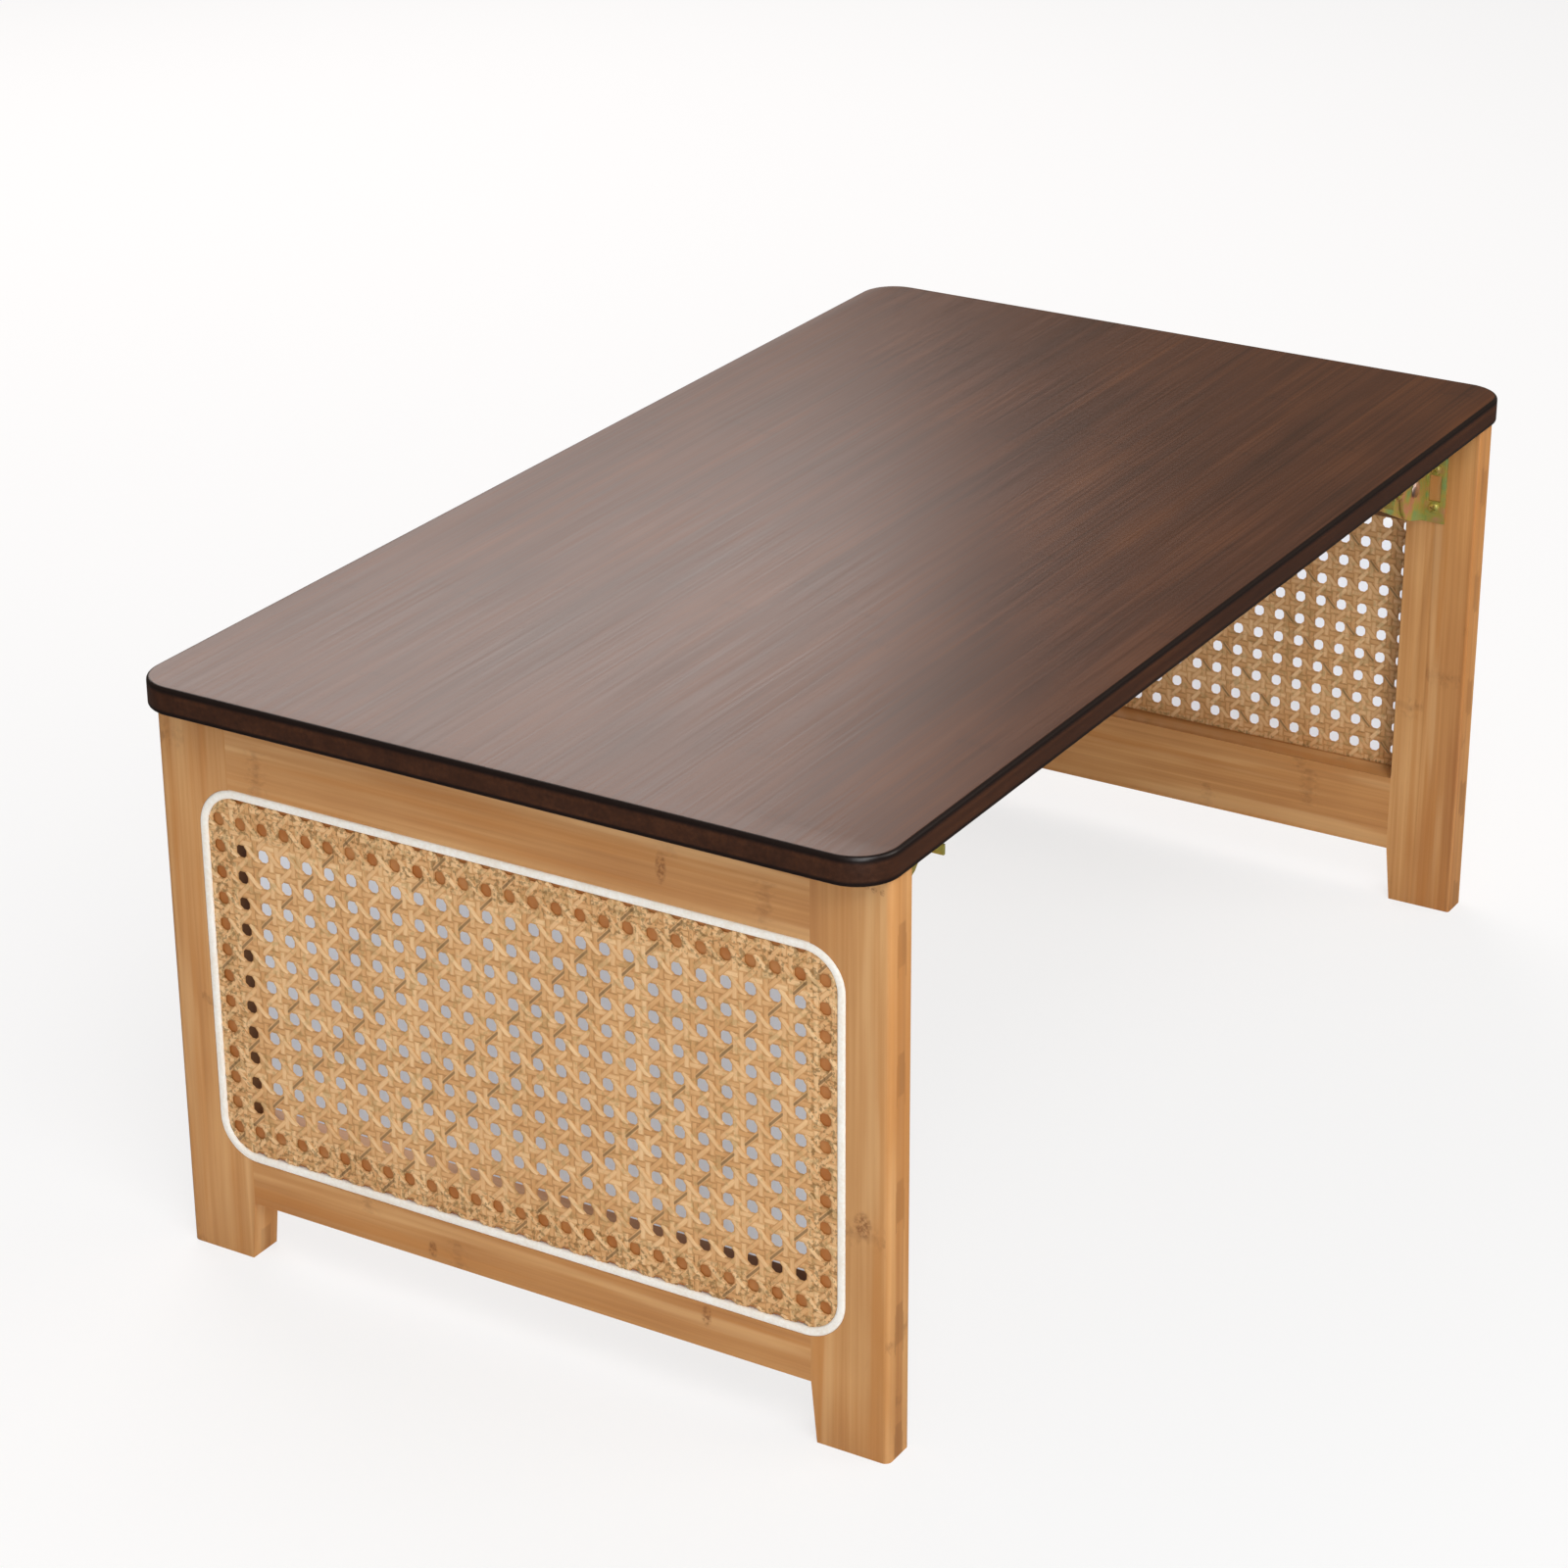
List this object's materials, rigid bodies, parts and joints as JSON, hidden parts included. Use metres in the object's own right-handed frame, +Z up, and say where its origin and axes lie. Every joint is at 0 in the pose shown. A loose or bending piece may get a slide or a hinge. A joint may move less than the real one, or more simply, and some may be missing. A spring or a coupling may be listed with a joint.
{
  "type": "folding coffee table",
  "caption": "Low folding coffee table: stained bamboo board on two end frames with cane panels, which fold in under it on self-locking brackets.",
  "frame": {"origin": "on the floor, below the centre of the board", "axes": "+X along the board towards the right end frame, +Y to the rear long side, +Z up; the front long side faces -Y"},
  "size_m": [0.69, 0.39, 0.3],
  "materials": {
    "stained_bamboo": "satin dark brown stain and lacquer over laminated bamboo",
    "bamboo": "clear satin lacquer on carbonised laminated bamboo",
    "cane": "woven peeled cane, natural gloss",
    "reed_spline": "pale peeled reed",
    "zinc_steel": "yellow zinc passivated pressed steel",
    "rivet_steel": "plated steel",
    "spring_wire": "bright spring wire"
  },
  "bodies": {
    "tabletop": {"tabletop": "stained_bamboo", "top_bracket_screws": "zinc_steel", "left_front_top_bracket": "zinc_steel", "left_front_pivot_rivet": "rivet_steel", "left_front_lever_rivet": "rivet_steel", "left_front_lever_spring": "spring_wire", "left_rear_top_bracket": "zinc_steel", "left_rear_pivot_rivet": "rivet_steel", "left_rear_lever_rivet": "rivet_steel", "left_rear_lever_spring": "spring_wire", "right_front_top_bracket": "zinc_steel", "right_front_pivot_rivet": "rivet_steel", "right_front_lever_rivet": "rivet_steel", "right_front_lever_spring": "spring_wire", "right_rear_top_bracket": "zinc_steel", "right_rear_pivot_rivet": "rivet_steel", "right_rear_lever_rivet": "rivet_steel", "right_rear_lever_spring": "spring_wire"},
    "left_frame": {"left_top_rail": "bamboo", "left_bottom_rail": "bamboo", "left_cane_panel": "cane", "left_spline": "reed_spline", "left_leg_bracket_screws": "zinc_steel", "left_front_leg": "bamboo", "left_front_leg_bracket": "zinc_steel", "left_rear_leg": "bamboo", "left_rear_leg_bracket": "zinc_steel"},
    "right_frame": {"right_top_rail": "bamboo", "right_bottom_rail": "bamboo", "right_cane_panel": "cane", "right_spline": "reed_spline", "right_leg_bracket_screws": "zinc_steel", "right_front_leg": "bamboo", "right_front_leg_bracket": "zinc_steel", "right_rear_leg": "bamboo", "right_rear_leg_bracket": "zinc_steel"},
    "left_front_lever": {"left_front_lock_lever": "zinc_steel"},
    "left_rear_lever": {"left_rear_lock_lever": "zinc_steel"},
    "right_front_lever": {"right_front_lock_lever": "zinc_steel"},
    "right_rear_lever": {"right_rear_lock_lever": "zinc_steel"}
  },
  "joints": [
    {"name": "left_fold", "type": "hinge", "parent": "tabletop", "child": "left_frame", "pos_m": [-0.293, 0, 0.254], "axis": [0, -1, 0], "range_deg": [0, 90]},
    {"name": "right_fold", "type": "hinge", "parent": "tabletop", "child": "right_frame", "pos_m": [0.293, 0, 0.254], "axis": [0, 1, 0], "range_deg": [0, 90]},
    {"name": "left_front_lever_press", "type": "hinge", "parent": "tabletop", "child": "left_front_lever", "pos_m": [-0.277, -0.1635, 0.276], "axis": [0, -1, 0], "range_deg": [0, 14], "stiffness_Nm_per_rad": 0.02, "springref_deg": -11.46, "deforming": ["left_front_lever_spring"]},
    {"name": "left_rear_lever_press", "type": "hinge", "parent": "tabletop", "child": "left_rear_lever", "pos_m": [-0.277, 0.1635, 0.276], "axis": [0, -1, 0], "range_deg": [0, 14], "stiffness_Nm_per_rad": 0.02, "springref_deg": -11.46, "deforming": ["left_rear_lever_spring"]},
    {"name": "right_front_lever_press", "type": "hinge", "parent": "tabletop", "child": "right_front_lever", "pos_m": [0.277, -0.1635, 0.276], "axis": [0, 1, 0], "range_deg": [0, 14], "stiffness_Nm_per_rad": 0.02, "springref_deg": -11.46, "deforming": ["right_front_lever_spring"]},
    {"name": "right_rear_lever_press", "type": "hinge", "parent": "tabletop", "child": "right_rear_lever", "pos_m": [0.277, 0.1635, 0.276], "axis": [0, 1, 0], "range_deg": [0, 14], "stiffness_Nm_per_rad": 0.02, "springref_deg": -11.46, "deforming": ["right_rear_lever_spring"]}
  ]
}
